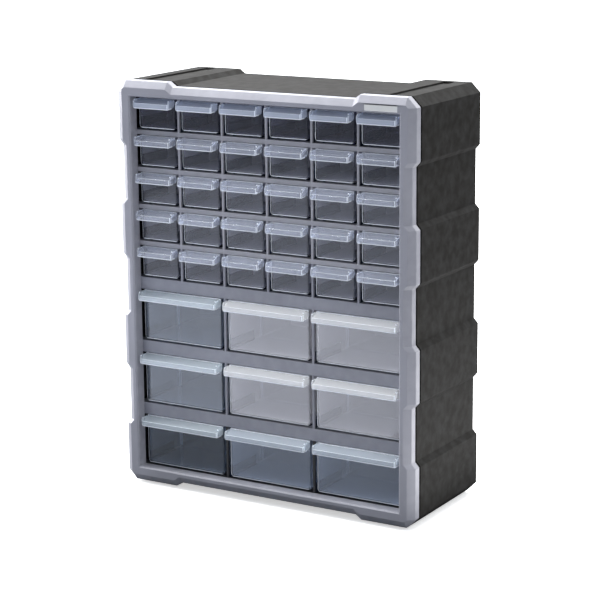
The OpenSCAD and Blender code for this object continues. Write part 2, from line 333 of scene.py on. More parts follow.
def tidy_surface(mesh: bpy.types.Mesh) -> None:
    """Merges vertices that meet and turns every face outwards.

    Args:
        mesh: the mesh to tidy.
    """
    work = bmesh.new()
    work.from_mesh(mesh)
    bmesh.ops.remove_doubles(work, verts=work.verts, dist=MERGE_DISTANCE)
    bmesh.ops.dissolve_degenerate(work, edges=work.edges, dist=MERGE_DISTANCE)
    bmesh.ops.recalc_face_normals(work, faces=work.faces)
    work.to_mesh(mesh)
    work.free()


# ---- node trees ----


class Graph:
    """Shorthand for building one node tree."""

    def __init__(self, tree: bpy.types.NodeTree) -> None:
        """Keeps the tree that the nodes go into."""
        self.tree = tree

    def node(self, kind: str, inputs: dict[Any, Any] | None = None, **settings: Any) -> bpy.types.Node:
        """Adds a node.

        Args:
            kind: the node's type name.
            inputs: socket name or number to a value or to another node's output.
            **settings: the node's own properties.

        Returns:
            The new node.
        """
        made = self.tree.nodes.new(kind)
        for key, value in settings.items():
            setattr(made, key, value)
        self.fill(made, inputs or {})
        return made

    def fill(self, node: bpy.types.Node, inputs: dict[Any, Any]) -> None:
        """Gives a node its inputs.

        Args:
            node: the node.
            inputs: socket name or number to a value to set or another node's output to link.
        """
        for key, value in inputs.items():
            if isinstance(value, bpy.types.NodeSocket):
                self.tree.links.new(value, node.inputs[key])
            else:
                node.inputs[key].default_value = value

    def math(self, operation: str, a: Any, b: Any = 0.0, clamp: bool = False) -> bpy.types.NodeSocket:
        """A Math node's output.

        Args:
            operation: such as MULTIPLY.
            a: first value or socket.
            b: second value or socket.
            clamp: whether the result is kept between 0 and 1.

        Returns:
            The output socket.
        """
        made = self.node("ShaderNodeMath", {0: a, 1: b}, operation=operation, use_clamp=clamp)
        return made.outputs[0]

    def span(self, value: Any, low: float, high: float) -> bpy.types.NodeSocket:
        """Maps value from low..high to 0..1, clamped."""
        return self.node("ShaderNodeMapRange", {0: value, 1: low, 2: high}).outputs[0]

    def blend(self, share: Any, a: Any, b: Any) -> bpy.types.NodeSocket:
        """Colour a where share is 0 and colour b where it is 1; each is a socket or (r, g, b)."""
        a, b = ((*colour, 1.0) if isinstance(colour, tuple) else colour for colour in (a, b))
        return self.node("ShaderNodeMix", {0: share, 6: a, 7: b}, data_type="RGBA").outputs[2]

    def edge_tone(self) -> bpy.types.NodeSocket:
        """The piece's own edge tone, 1 on rounded edges."""
        return self.node("ShaderNodeAttribute", attribute_name=EDGE_TONE).outputs["Fac"]

    def noise(
        self, scale: float, detail: float = 2.0, stretch: tuple[float, float, float] = (1, 1, 1)
    ) -> bpy.types.NodeSocket:
        """Noise over the object's own metres.

        Args:
            scale: cycles per metre.
            detail: octaves.
            stretch: scale of each axis.

        Returns:
            The noise value's socket.
        """
        place = self.node("ShaderNodeTexCoord").outputs["Object"]
        place = self.node("ShaderNodeMapping", {"Vector": place, "Scale": stretch}).outputs[0]
        made = self.node("ShaderNodeTexNoise", {"Vector": place, "Scale": scale, "Detail": detail})
        return made.outputs[0]

    def relief(
        self, effects: "SharedEffects", fine: float, wavy: float, depth: float
    ) -> bpy.types.NodeSocket:
        """The normal of the moulded grain.

        Args:
            effects: the shared node groups.
            fine: share of the fine grain.
            wavy: share of the slow waviness.
            depth: height of a full step, in metres.

        Returns:
            The normal's socket.
        """
        height = self.place(effects.grain, {"Fine": fine, "Wavy": wavy})
        made = self.node("ShaderNodeBump", {"Height": height, "Distance": depth, "Strength": 1.0})
        return made.outputs[0]

    def place(self, group: bpy.types.NodeTree, values: dict[str, float]) -> bpy.types.NodeSocket:
        """Places a shared group with its own values and returns its one output."""
        return self.node("ShaderNodeGroup", values, node_tree=group).outputs[0]


def new_material(name: str) -> tuple[bpy.types.Material, Graph, bpy.types.Node]:
    """Starts a material.

    Args:
        name: the material's name.

    Returns:
        The material, a graph to fill it with, and its Principled shader.
    """
    material = bpy.data.materials.new(name)
    material.use_nodes = True
    return material, Graph(material.node_tree), material.node_tree.nodes["Principled BSDF"]


def new_group(
    name: str, inputs: dict[str, float], output: str
) -> tuple[bpy.types.NodeTree, Graph, dict[str, bpy.types.NodeSocket]]:
    """Starts a shader node group of plain values.

    Args:
        name: the group's name.
        inputs: input names with their default values.
        output: output name.

    Returns:
        The group, a graph to fill it with, and its input sockets by name.
    """
    group = bpy.data.node_groups.new(name, "ShaderNodeTree")
    kind = "NodeSocketFloat"
    for label, value in inputs.items():
        group.interface.new_socket(label, in_out="INPUT", socket_type=kind).default_value = value
    group.interface.new_socket(output, in_out="OUTPUT", socket_type=kind)
    graph = Graph(group)
    source = graph.node("NodeGroupInput")
    return group, graph, {label: source.outputs[label] for label in inputs}


class SharedEffects:
    """Effects that more than one plastic uses, each a node group built once."""

    def __init__(self) -> None:
        """Builds the groups."""
        self.grain = self.build_grain()
        self.scuffs = self.build_scuffs()
        self.dust = self.build_dust()
        self.mottle = self.build_mottle()

    @staticmethod
    def build_grain() -> bpy.types.NodeTree:
        """Moulded grain: fine noise plus the slow waviness of a cooled wall, added as heights."""
        group, graph, given = new_group("mould_grain", {"Fine": 0.5, "Wavy": 0.5}, "Height")
        fine = graph.math("MULTIPLY", graph.noise(scale=2600.0, detail=3.0), given["Fine"])
        wavy = graph.math("MULTIPLY", graph.noise(scale=28.0, detail=1.0), given["Wavy"])
        graph.node("NodeGroupOutput", {"Height": graph.math("ADD", fine, wavy)})
        return group

    @staticmethod
    def build_scuffs() -> bpy.types.NodeTree:
        """Thin rub marks: noise drawn out along one axis, kept where it peaks, in scattered patches."""
        group, graph, given = new_group("scuffs", {"Amount": 0.5}, "Mask")
        along = graph.noise(scale=60.0, detail=6.0, stretch=(0.25, 4.0, 1.0))
        across = graph.noise(scale=75.0, detail=6.0, stretch=(3.0, 0.3, 1.2))
        marks = graph.math(
            "MAXIMUM", graph.span(along, low=0.60, high=0.72), graph.span(across, low=0.62, high=0.74)
        )
        patch = graph.span(graph.noise(scale=9.0, detail=2.0), low=0.48, high=0.66)
        both = graph.math("MULTIPLY", marks, patch)
        mask = graph.math("MULTIPLY", both, given["Amount"], clamp=True)
        graph.node("NodeGroupOutput", {"Mask": mask})
        return group

    @staticmethod
    def build_dust() -> bpy.types.NodeTree:
        """Dust: grows with how far a face looks up, broken by noise."""
        group, graph, given = new_group("dust_fall", {"Amount": 0.5}, "Mask")
        normal = graph.node("ShaderNodeNewGeometry").outputs["Normal"]
        up = graph.node("ShaderNodeSeparateXYZ", {0: normal}).outputs[2]
        broken = graph.span(graph.noise(scale=140.0, detail=5.0), low=0.35, high=0.75)
        share = graph.math("MULTIPLY", graph.span(up, low=0.3, high=1.0), broken)
        mask = graph.math("MULTIPLY", share, given["Amount"], clamp=True)
        graph.node("NodeGroupOutput", {"Mask": mask})
        return group

    @staticmethod
    def build_mottle() -> bpy.types.NodeTree:
        """Slow colour and gloss variation of a large moulding."""
        group, graph, given = new_group("mottle", {"Amount": 0.5}, "Value")
        slow = graph.math("SUBTRACT", graph.noise(scale=11.0, detail=3.0), 0.5)
        graph.node("NodeGroupOutput", {"Value": graph.math("MULTIPLY", slow, given["Amount"])})
        return group


@dataclass(frozen=True)
class SolidPlastic:
    """An opaque moulded plastic.

    Colours are linear. worn is the colour of rubbed edges and scuffs, dusty that of settled dust.
    grain and waviness scale the relief, depth is the relief's full step, wear, scuffing and dust are
    the most that each mask shows, shine is the specular level, and mottle scales the slow variation
    of colour and gloss.
    """

    name: str
    colour: Colour
    worn: Colour
    dusty: Colour
    roughness: float
    grain: float = 0.5
    waviness: float = 0.5
    wear: float = 0.5
    scuffing: float = 0.15
    dust: float = 0.08
    shine: float = 0.5
    mottle: float = 0.5
    depth: float = 0.08 * MM
    mottle_gloss: float = 0.35
    dust_gloss: float = 0.25

    def build(self, effects: SharedEffects) -> bpy.types.Material:
        """Makes the material: colour and roughness from the shared effects, and a bump of the grain.

        Args:
            effects: the shared node groups.

        Returns:
            The material.
        """
        material, graph, shader = new_material(self.name)
        scuff = graph.place(effects.scuffs, {"Amount": self.scuffing})
        dust = graph.place(effects.dust, {"Amount": self.dust})
        slow = graph.place(effects.mottle, {"Amount": self.mottle})
        uneven = graph.span(graph.noise(scale=90.0, detail=4.0), low=0.35, high=0.7)
        rubbed = graph.math("MULTIPLY", graph.edge_tone(), uneven)
        worn = graph.math("MAXIMUM", graph.math("MULTIPLY", rubbed, self.wear), scuff, clamp=True)
        varied = {0: self.colour, "Scale": graph.math("ADD", 1.0, slow)}
        base = graph.node("ShaderNodeVectorMath", varied, operation="SCALE").outputs[0]
        colour = graph.blend(dust, graph.blend(worn, base, self.worn), self.dusty)
        rough = graph.math("ADD", self.roughness, graph.math("MULTIPLY", slow, self.mottle_gloss))
        rough = graph.math("ADD", rough, graph.math("MULTIPLY", dust, self.dust_gloss), clamp=True)
        graph.fill(shader, {
            "Base Color": colour,
            "Roughness": rough,
            "Normal": graph.relief(effects, self.grain, self.waviness, self.depth),
            "Specular IOR Level": self.shine,
        })
        return material


@dataclass(frozen=True)
class ClearPlastic:
    """A clear moulded plastic with a little haze.

    Colours are linear. clarity is the share of light that the wall lets through unscattered, rim the
    colour of its scuffs and of its rounded edges, where it is a painted highlight, rim_roughness the
    roughness of those edges, and passed the share of a lamp's light that goes through one surface. grain
    and waviness scale the relief.
    """

    name: str
    tint: Colour
    rim: Colour
    clarity: float
    roughness: float
    rim_roughness: float
    passed: float = 0.9
    waviness: float = 1.0
    grain: float = 0.02
    depth: float = 0.1 * MM
    scuffing: float = 0.25
    scuff_gloss: float = 0.2
    ior: float = 1.49

    def build(self, effects: SharedEffects) -> bpy.types.Material:
        """Makes the material: hazy glass with rougher edges whitened as a painted highlight, and clear to
        lamps.

        Args:
            effects: the shared node groups.

        Returns:
            The material.
        """
        material, graph, shader = new_material(self.name)
        edge = graph.edge_tone()
        scuff = graph.place(effects.scuffs, {"Amount": self.scuffing})
        rough = graph.math("MULTIPLY", edge, self.rim_roughness - self.roughness)
        rough = graph.math("ADD", self.roughness, rough)
        # Rounded edges are whitened as a painted highlight, and scuffs as wear.
        graph.fill(shader, {
            "Base Color": graph.blend(graph.math("MAXIMUM", edge, scuff), self.tint, self.rim),
            "Roughness": graph.math("ADD", rough, graph.math("MULTIPLY", scuff, self.scuff_gloss)),
            "Normal": graph.relief(effects, self.grain, self.waviness, self.depth),
            "IOR": self.ior,
            "Transmission Weight": self.clarity,
        })
        lamp = graph.node("ShaderNodeBsdfTransparent", {"Color": (*[self.passed] * 3, 1.0)})
        ray = graph.node("ShaderNodeLightPath").outputs["Is Shadow Ray"]
        mix = graph.node("ShaderNodeMixShader", {0: ray, 1: shader.outputs[0], 2: lamp.outputs[0]})
        graph.fill(material.node_tree.nodes["Material Output"], {"Surface": mix.outputs[0]})
        return material


# ---- the cabinet's own outline ----


@dataclass(frozen=True)
class Groove:
    """The stacking groove in each raised block of the top: its centre, half width and floor."""

    centre: float
    half: float
    floor: float


@dataclass(frozen=True)
class Outline:
    """Front view of the case and the frame: stepped sides, chamfered corners, recessed middles."""

    half_width: float
    low: float
    high: float
    side_recess: float = 5 * MM
    end_recess: float = 5 * MM
    chamfer: float = 11 * MM
    block_width: float = 67.5 * MM
    block_slope: float = 7 * MM
    slope_run: float = 5.5 * MM
    bands: tuple[float, float, float] = (31 * MM, 95 * MM, 162 * MM)
    crisp: float = 0.9 * MM
    soft: float = 3.2 * MM
    soft_corners: tuple[int, ...] = (4, 8, 12)
    groove_round: float = 0.4 * MM
    steps: int = 3

    @property
    def middle(self) -> float:
        """Height of the outline's middle."""
        return (self.low + self.high) / 2

    def side(self, inset: float) -> tuple[list[tuple[float, float]], list[float]]:
        """The right side, upwards: three raised bands with recesses between.

        The lower outer corner of each raised band above the lowest is soft, as moulded, and the
        others are crisp.

        Args:
            inset: how far the side moves in.

        Returns:
            The corners and their radii.
        """
        a, b, c = self.bands
        run, x = self.slope_run, self.half_width - inset
        steps = [(a, 1), (a + run, 0), (b, 0), (b + run, 1), (c, 1), (c + run, 0)]
        lower = [(x - r * self.side_recess, self.middle - z) for z, r in steps[::-1]]
        upper = [(x - r * self.side_recess, self.middle + z) for z, r in steps]
        end = self.high - self.middle - self.chamfer
        corners = [(x, self.middle - end), *lower, *upper, (x, self.middle + end)]
        soft = self.soft_corners
        return corners, [self.soft if i in soft else self.crisp for i in range(len(corners))]

    def top(self, inset: float, groove: Groove | None) -> tuple[list[tuple[float, float]], list[float]]:
        """The right half of the top, inwards: raised block, groove and slope.

        Args:
            inset: how far the top moves down.
            groove: the groove in the raised block, if any.

        Returns:
            The corners and their radii.
        """
        high = self.high - inset
        start = self.half_width - self.block_width
        corners = [(self.half_width - self.chamfer, high), (start, high)]
        radii = [self.crisp, self.crisp]
        if groove:
            floor = min(groove.floor, high - TINY)
            x_out, x_in = groove.centre + groove.half, groove.centre - groove.half
            corners[1:1] = [(x_out, high), (x_out, floor), (x_in, floor), (x_in, high)]
            radii[1:1] = [min(self.groove_round, MOST_ROUND * (high - floor))] * 4
        corners.append((start - self.block_slope, high - self.end_recess))
        return corners, [*radii, self.crisp]

    def ring(self, inset: float, y: float, groove: Groove | None = None) -> np.ndarray:
        """The rounded outline as a ring at a place along Y.

        Args:
            inset: how far the walls move in, sideways and up or down.
            y: place along Y.
            groove: the grooves in the top, if any.

        Returns:
            (n, 3) points.
        """
        side, side_radii = self.side(inset)
        top, top_radii = self.top(inset, groove)
        under, under_radii = self.top(inset, None)
        quarter = side + top
        under = [(x, self.low + self.high - z) for x, z in under[::-1]]
        corners = quarter + [(-x, z) for x, z in quarter[::-1] + under[::-1]] + under
        radii = side_radii + top_radii
        radii = radii + radii[::-1] + under_radii + under_radii[::-1]
        return upright(rounded_loop(np.array(corners), np.array(radii), self.steps), y)


# ---- sub-assemblies ----


@dataclass
class Case:
    """The black case: a closed back, a stepped outline, grooves on top and ribs underneath."""

    outline: Outline
    mouth_y: float
    back_y: float
    floor_z: float
    shelf_floors: list[float]
    wall: float = 3 * MM
    reveal_width: float = 3 * MM
    reveal_depth: float = 1.6 * MM
    lip_radius: float = 0.3 * MM
    back_radius: float = 2.2 * MM
    groove_inset: float = 33.5 * MM
    groove_half: float = 7 * MM
    groove_depth: float = 2 * MM
    groove_stop: float = 12 * MM
    rib_inset: float = 35.5 * MM
    rib_half: float = 4 * MM
    rib_ends: tuple[float, float] = (8 * MM, 6 * MM)
    rib_radius: float = 0.8 * MM
    bite: float = 1 * MM
    screw_span: tuple[float, float] = (254 * MM, 304.8 * MM)
    screw_radius: float = 2.5 * MM
    pad_radius: float = 7 * MM
    pad_height: float = 2 * MM
    land_radius: float = 9 * MM
    screw_tone: float = 0.3
    panel_border: float = 19.5 * MM
    panel_radius: float = 3 * MM
    panel_floor_radius: float = 2.4 * MM
    panel_slope: float = 0.6 * MM
    panel_tone: float = 0.6
    panel_depth: float = 1 * MM
    stiffener: float = 12 * MM
    level_stiffeners: float = 2.5
    ledge: tuple[float, float] = (9.4 * MM, 2 * MM)
    ledge_start: float = 9 * MM

    def build(self) -> Draft:
        """Draws the case.

        The walls are one stack of outline rings: from the inside of the back out to the mouth, round
        it, over the shadow gap's step and along the outside to the rounded edge of the back.

        Returns:
            The draft.
        """
        draft = Draft("case_body")
        centre = self.outline.half_width - self.groove_inset
        cut = Groove(centre, self.groove_half, self.outline.high - self.groove_depth)
        filled = Groove(centre, self.groove_half, self.outline.high)
        stop = self.back_y - self.groove_stop
        step_y = self.mouth_y + self.reveal_width
        front = rounded_path(np.array([
            [self.wall, self.back_y - self.wall],
            [self.wall, self.mouth_y],
            [self.reveal_depth, self.mouth_y],
            [self.reveal_depth, step_y],
            [0, step_y],
            [0, stop],
        ]), [self.lip_radius] * 4, 3)
        radius = self.back_radius
        turn = np.array([[0, stop], [0, self.back_y], [2 * radius, self.back_y]])
        rear = rounded_path(turn, [radius], 5)
        rings = [self.outline.ring(d, y, cut) for d, y in front]
        rings += [self.outline.ring(d, y, filled) for d, y in rear]
        draft.sleeve(rings, self.edge_tones(np.concatenate([front, rear])))
        self.add_back(draft, rings[-1], rings[0])
        self.add_inside(draft)
        self.add_ribs(draft)
        return draft

    @staticmethod
    def edge_tones(track: Loop) -> np.ndarray:
        """Edge tone of each ring: 1 where the track turns, 0 where it runs straight.

        Args:
            track: (m, 2) track that the rings stand on.

        Returns:
            (m, 1) tones.
        """
        step = np.diff(track, axis=0)
        angle = np.unwrap(np.arctan2(step[:, 1], step[:, 0]))
        tones = np.clip(TONE_PER_TURN * np.abs(np.diff(angle)), 0, 1)
        return np.concatenate([[0.0], tones, [0.0]])[:, None]

    def screw_places(self) -> list[tuple[float, float]]:
        """Centres of the four screw holes, in XZ."""
        half_x, half_z = self.screw_span[0] / 2, self.screw_span[1] / 2
        return [(sx * half_x, self.outline.middle + sz * half_z) for sx in (-1, 1) for sz in (-1, 1)]

    def panels(self) -> list[Loop]:
        """Corner points of the six shallow panels of the back, three across and two up."""
        width = (2 * self.outline.half_width - 2 * self.panel_border) / 3 - self.stiffener
        height = (self.outline.high - self.outline.low) / 2 - self.level_stiffeners * self.stiffener
        dx, dz = width / 2, height / 2
        centres = [
            (column * (width + self.stiffener), self.outline.middle + row * (height + self.stiffener))
            for column in (-1, 0, 1) for row in (-0.5, 0.5)
        ]
        return [rectangle((x - dx, z - dz), (x + dx, z + dz)) for x, z in centres]

    def add_back(self, draft: Draft, outer: np.ndarray, inner: np.ndarray) -> None:
        """Closes the back with six shallow panels and four screw holes with pads and lands.

        Args:
            draft: the case's draft.
            outer: the last ring of the outside.
            inner: the first ring of the inside.
        """
        back, floor_y = self.back_y, self.back_y - self.panel_depth
        screws = self.screw_places()
        soft = [rounded_loop(p, self.panel_radius, 4) for p in self.panels()]
        draft.plate([outer, *[upright(p, back) for p in soft]])
        for corners, loop in zip(self.panels(), soft):
            low = rounded_loop(shrunk(corners, self.panel_slope), self.panel_floor_radius, 4)
            draft.sleeve([upright(loop, back), upright(low, floor_y)], self.panel_tone)
            (x0, z0), (x1, z1) = corners[0], corners[2]
            lands = [circle(s, self.land_radius) for s in screws if x0 < s[0] < x1 and z0 < s[1] < z1]
            draft.plate([upright(low, floor_y), *[upright(land, floor_y) for land in lands]])
        inner_y = back - self.wall
        draft.plate([inner, *[upright(circle(s, self.pad_radius), inner_y) for s in screws]])
        pad_y = inner_y - self.pad_height
        places = [(self.pad_radius, inner_y), (self.pad_radius, pad_y), (self.screw_radius, pad_y)]
        places += [(self.screw_radius, back), (self.land_radius, back), (self.land_radius, floor_y)]
        for s in screws:
            draft.sleeve([upright(circle(s, r), y) for r, y in places], self.screw_tone)

    def add_inside(self, draft: Draft) -> None:
        """Adds the ledges that carry the shelves' ends and the thicker roof under the grooves.

        Args:
            draft: the case's draft.
        """
        reach = self.outline.half_width - self.outline.side_recess - self.ledge[0]
        front = self.mouth_y + self.ledge_start
        back = self.back_y - self.wall + self.bite
        outer = self.outline.half_width - self.outline.side_recess - self.wall + SUNK
        roof = self.outline.high - self.wall
        for side in (-1, 1):
            ends = sorted((side * reach, side * outer))
            for bottom in self.shelf_floors:
                draft.block((ends[0], front, bottom - self.ledge[1]), (ends[1], back, bottom))
            x = side * (self.outline.half_width - self.groove_inset)
            half = self.groove_half + self.wall
            low, high = (x - half, front, roof - self.groove_depth), (x + half, back, roof + SUNK)
            draft.block(low, high, self.lip_radius)

    def add_ribs(self, draft: Draft) -> None:
        """Adds the two stacking ribs that the cabinet stands on.

        Args:
            draft: the case's draft.
        """
        for side in (-1, 1):
            x = side * (self.outline.half_width - self.rib_inset)
            low = (x - self.rib_half, self.mouth_y + self.rib_ends[0], self.floor_z)
            high = (x + self.rib_half, self.back_y - self.rib_ends[1], self.outline.low + self.bite)
            draft.block(low, high, self.rib_radius, steps=3)

    def dress(self, draft: Draft, material: bpy.types.Material) -> None:
        """Finishes the case in its plastic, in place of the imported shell."""
        draft.finish([material], "cabinet", "case_black", "case_shell")


@dataclass
class FrontFrame:
    """The grey frame: side faces, a slope in to the flat front, the opening and the flange behind."""

    outline: Outline
    front_y: float
    rear_y: float
    opening_low: tuple[float, float]
    opening_high: tuple[float, float]
    plate_low: tuple[float, float]
    plate_high: tuple[float, float]
    plate_depth: float
    border: float = 18.5 * MM
    sill: float = 18 * MM
    slope: float = 8 * MM
    side: float = 8.5 * MM
    land: float = 1.5 * MM
    outer_radii: tuple[float, ...] = (0.3 * MM, 0.3 * MM, 1.5 * MM, 1.1 * MM)
    inner_radii: tuple[float, ...] = (0.8 * MM, 0.3 * MM, 0.3 * MM)
    opening_radius: float = 0.6 * MM
    pocket_gap: float = 0.1 * MM
    pocket_radius: float = 0.8 * MM
    lip: float = 1.6 * MM
    skirt: float = 2.6 * MM
    inner_wall: float = 2.5 * MM
    hollow: float = 8 * MM
    flange: tuple[float, float] = (3.3 * MM, 5.3 * MM)
    flange_depth: float = 8 * MM
    strip: tuple[float, float] = (1.9 * MM, 3 * MM)
    strip_bite: float = 1 * MM

    def opening(self, margin: float, y: float) -> np.ndarray:
        """The opening's ring, widened by a margin, at a place along Y."""
        base = rectangle(self.opening_low, self.opening_high)
        return upright(rounded_loop(shrunk(base, -margin), self.opening_radius, 3), y)

    def build(self) -> Draft:
        """Draws the frame.

        One track of outline rings runs from the hollow behind, round the skirt's rear edge, along the
        side face and up the slope. A second one lines the opening. A flat front and a flat hollow
        floor join the two.

        Returns:
            The draft.
        """
        draft = Draft("front_bezel")
        rear, front = self.rear_y, self.front_y
        hollow_y = rear - self.hollow
        outer = rounded_path(np.array([
            [self.skirt, hollow_y],
            [self.skirt, rear],
            [0, rear],
            [0, rear - self.side],
            [self.slope, front],
            [self.slope + self.land, front],
        ]), self.outer_radii, 4)
        rings = [self.outline.ring(d, y) for d, y in outer]
        draft.sleeve(rings, Case.edge_tones(outer))
        inner = rounded_path(np.array([
            [self.lip, front],
            [0, front + self.lip],
            [0, rear],
            [self.inner_wall, rear],
            [self.inner_wall, hollow_y],
        ]), self.inner_radii, 3)
        lining = [self.opening(d, y) for d, y in inner]
        draft.sleeve(lining, Case.edge_tones(inner))
        pocket = shrunk(rectangle(self.plate_low, self.plate_high), -self.pocket_gap)
        pocket = rounded_loop(pocket, self.pocket_radius, 3)
        draft.plate([rings[-1], lining[0], upright(pocket, front)])
        draft.plate([rings[0], lining[-1]])
        floor = np.array([upright(pocket, front), upright(pocket, front + self.plate_depth)])
        draft.stack(floor, caps=(False, True))
        self.add_flange(draft, hollow_y)
        return draft

    def add_flange(self, draft: Draft, hollow_y: float) -> None:
        """Adds the flange that plugs into the case and the strip over the top row.

        Args:
            draft: the frame's draft.
            hollow_y: where the hollow's floor is.
        """
        near, far = self.flange
        tip = self.rear_y + self.flange_depth
        track = np.array([[near, hollow_y], [near, tip], [far, tip], [far, hollow_y], [near, hollow_y]])
        draft.sleeve([self.outline.ring(d, y) for d, y in track])
        (left, _), (right, top) = self.opening_low, self.opening_high
        draft.block(
            (left - self.strip_bite, self.rear_y - self.strip[1], top - self.strip[0]),
            (right + self.strip_bite, self.rear_y + self.strip[1], top + self.strip_bite),
        )

    def dress(self, draft: Draft, material: bpy.types.Material) -> None:
        """Finishes the frame in its plastic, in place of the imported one."""
        draft.finish([material], "cabinet", "frame_grey", "front_frame")


@dataclass
class NamePlate:
    """The blank plate let into the frame's upper right corner."""

    low: Vector
    high: Vector
    corner: float = 0.8 * MM
    edge: float = 0.12 * MM

    def build(self) -> Draft:
        """Draws the plate: its rounded outline stacked along Y, drawn in a little at the front."""
        draft = Draft("blank_plate")
        base = rectangle((self.low.x, self.low.z), (self.high.x, self.high.z))
        places = [(self.edge, self.low.y), (0, self.low.y + self.edge), (0, self.high.y)]
        rings = [upright(rounded_loop(shrunk(base, d), self.corner - d, 4), y) for d, y in places]
        draft.stack(np.array(rings), np.array([[1.0], [1.0], [0.0]]))
        return draft

    def dress(self, draft: Draft, material: bpy.types.Material) -> None:
        """Finishes the plate in white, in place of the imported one."""
        draft.finish([material], "cabinet", "plate_white", "name_plate")


class DrawerPart(Enum):
    """The material slots of a drawer."""

    TRAY = 0
    HOOD = 1
    # hazier inner walls: partly real haze, partly painted light
    WALL = 2
    # painted highlights: whitish rims, edge lines and ribs
    RIM = 3


class HoodPart(Enum):
    """The two side views that a hood is swept through."""

    ROOF = "roof"
    CHEEK = "cheek"


class Row(Enum):
    """The two kinds of drawer row: its name, the drawers in a row and the number of rows."""

    SMALL = ("small", 6, 5)
    LARGE = ("large", 3, 3)

    def __init__(self, kind: str, columns: int, count: int) -> None:
        """Keeps the three values by name.

        Args:
            kind: the name that its nodes start with.
            columns: drawers in a row.
            count: number of rows.
        """
        self.kind = kind
        self.columns = columns
        self.count = count

    def nodes(self) -> list[str]:
        """Names of the drawers of this kind, row by row."""
        rows, columns = range(1, self.count + 1), range(1, self.columns + 1)
        return [f"{self.kind}_drawer_r{r}c{c}" for r in rows for c in columns]


class Bar(Enum):
    """Heights of the shelves' front bars."""

    SMALL = 5.3 * MM
    LARGE = 14.2 * MM
    BASE = 7 * MM


class ShelfPart(Enum):
    """The material slots of a shelf: its face, and the parts behind, dark as painted shade."""

    FACE = 0
    DEEP = 1


@dataclass
class Shelf:
    """A shelf: front bar, plate, posts, drawer runners, guide rails and a rear stop."""

    node: str
    row: Row
    bar: Bar
    post_height: float
    pitch: float
    drawer_width: float
    drawer_length: float
    bar_thickness: float = 3 * MM
    plate: float = 2 * MM
    plate_start: float = 1 * MM
    plate_edge: float = 0.3 * MM
    rail_start: float = 8 * MM
    rail_length: float = 60 * MM
    rail_height: float = 12 * MM
    guide_height: float = 4.5 * MM
    guide_gap: float = 0.8 * MM
    guide_edge: float = 0.5 * MM
    runner: tuple[float, float] = (3 * MM, 2.2 * MM)
    runner_inset: float = 6 * MM
    post: float = 2.6 * MM
    stop: tuple[float, float] = (1.8 * MM, 5 * MM)
    stop_gap: float = 0.4 * MM
    edge: float = 0.35 * MM

    def build(self) -> Draft:
        """Draws the shelf as rounded blocks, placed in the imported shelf's own box.

        Returns:
            The draft.
        """
        low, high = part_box(self.node)
        draft = Draft(self.node + "_moulding")
        floor = low.z + self.bar.value
        front, half = low.y, high.x
        sunk = floor - SUNK
        # The runners, guides, rails and rear stop take the dark slot, which is painted shade.
        shaded = ShelfPart.DEEP.value
        back, top = front + self.bar_thickness, floor + self.guide_height
        plate_y = front + self.plate_start
        draft.block((-half, plate_y, floor - self.plate), (half, high.y, floor), self.plate_edge)
        draft.block((-half, front, low.z), (half, back, floor), self.edge, steps=3)
        rail_y, rail_end = front + self.rail_start, front + self.rail_start + self.rail_length
        columns = self.row.columns
        guide = (self.pitch - self.drawer_width) / 2 - self.guide_gap
        for column in range(columns):
            centre = (column - (columns - 1) / 2) * self.pitch
            for side in (-1, 1):
                x = centre + side * (self.drawer_width / 2 - self.runner_inset)
                draft.block(
                    (x - self.runner[0] / 2, rail_y, sunk),
                    (x + self.runner[0] / 2, front + self.drawer_length, floor + self.runner[1]),
                    self.guide_edge, shaded,
                )
        for k in range(1, columns):
            x = (k - columns / 2) * self.pitch
            left, right = x - self.post / 2, x + self.post / 2
            draft.block((left, front, sunk), (right, back, floor + self.post_height), self.edge)
            draft.block((x - guide, rail_y, sunk), (x + guide, rail_end, top), self.guide_edge, shaded)
            rail_top = floor + self.rail_height
            draft.block((left, back - SUNK, sunk), (right, rail_end, rail_top), slot=shaded)
        outer = columns / 2 * self.pitch
        for side in (-1, 1):
            ends = sorted((side * (outer - guide), side * outer))
            draft.block((ends[0], rail_y, sunk), (ends[1], rail_end, top), self.guide_edge, shaded)
        stop_y = front + self.drawer_length + self.stop_gap
        stop_top = floor + self.stop[1]
        draft.block((-half, stop_y, sunk), (half, stop_y + self.stop[0], stop_top), slot=shaded)
        return draft

    def dress(self, draft: Draft, materials: list[bpy.types.Material], slot: str) -> None:
        """Finishes the shelf in its plastics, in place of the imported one."""
        draft.finish(materials, "cabinet", slot, self.node)


# A ring of the tray has 18 points, counter-clockwise from its left front corner. Quads 0 to 2 and 4 to
# 6 are the front corners, 3 the front, 7 and 8 the right side, 9 to 15 the back, and 16 and 17 the left
# side. Each side is cut in two where its clear strip ends, and quads 7 and 17 are the parts in front.
SIDE_ENDS = [8, 0]
SIDE_CUTS = [8, 16]
LEFT_EDGE_QUADS = slice(0, 3)
FRONT_QUADS = slice(0, 7)
CLEAR_SIDE_QUADS = [7, 17]
BACK_EDGE_POINTS = [10, 11, 14, 15]

# A hood's section has eight corners of four points. Quads 0 to 6 run from its root over the ridge, 9 is
# the middle of the fold, 11 to 18 the front face down to the lip's foot, and 15 to 22 the foot's corners.
HOOD_LINES = [*range(7), 9, *range(15, 23)]
HOOD_FACE = slice(11, 19)
HOOD_OUTSIDE = range(16)
HOOD_END_STRIPS = 2


